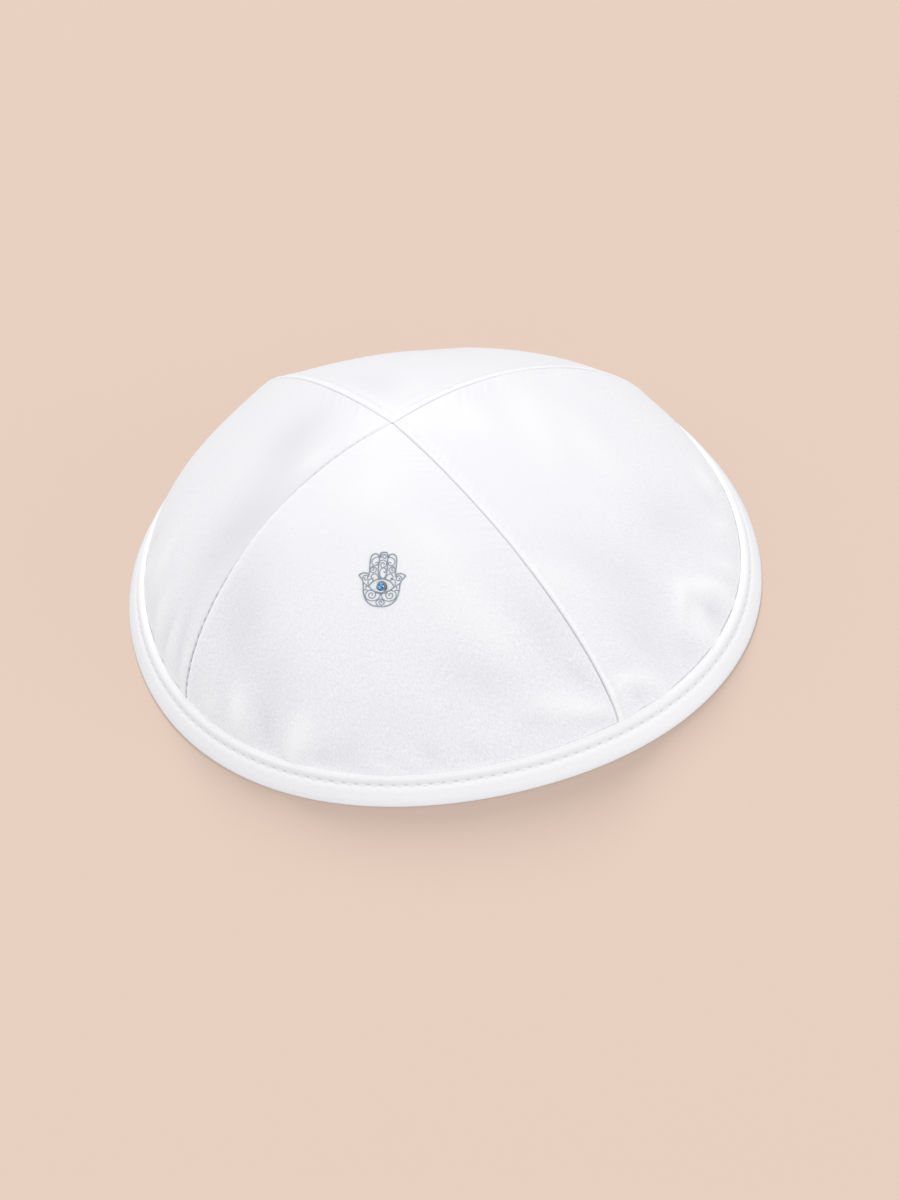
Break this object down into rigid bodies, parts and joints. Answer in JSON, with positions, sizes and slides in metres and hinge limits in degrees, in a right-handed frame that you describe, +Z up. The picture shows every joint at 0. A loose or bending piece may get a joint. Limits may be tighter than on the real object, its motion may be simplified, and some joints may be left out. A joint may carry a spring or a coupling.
{
  "type": "kippah skullcap",
  "caption": "Low domed skullcap of satin panels that meet at the crown, with a folded rim binding and a small pierced hand ornament with a set stone.",
  "frame": {"origin": "centre of the rim on the rest plane", "axes": "+Z up through the crown, -Y towards the front panel, +X to the wearer's left, which is the right in the picture"},
  "size_m": [0.174, 0.174, 0.0552],
  "materials": {
    "satin": "white satin with a fine twill and a soft sheen",
    "binding_satin": "white satin binding, smoother than the panels",
    "slate_metal": "silver-slate foil, satin",
    "silver": "polished lip",
    "blue_stone": "cut and polished"
  },
  "bodies": {
    "root": {"panel_front": "satin", "panel_right": "satin", "panel_back": "satin", "panel_left": "satin", "rim_binding": "binding_satin", "hamsa_emblem": "slate_metal", "eye_bezel": "silver", "eye_stone": "blue_stone"}
  },
  "joints": []
}
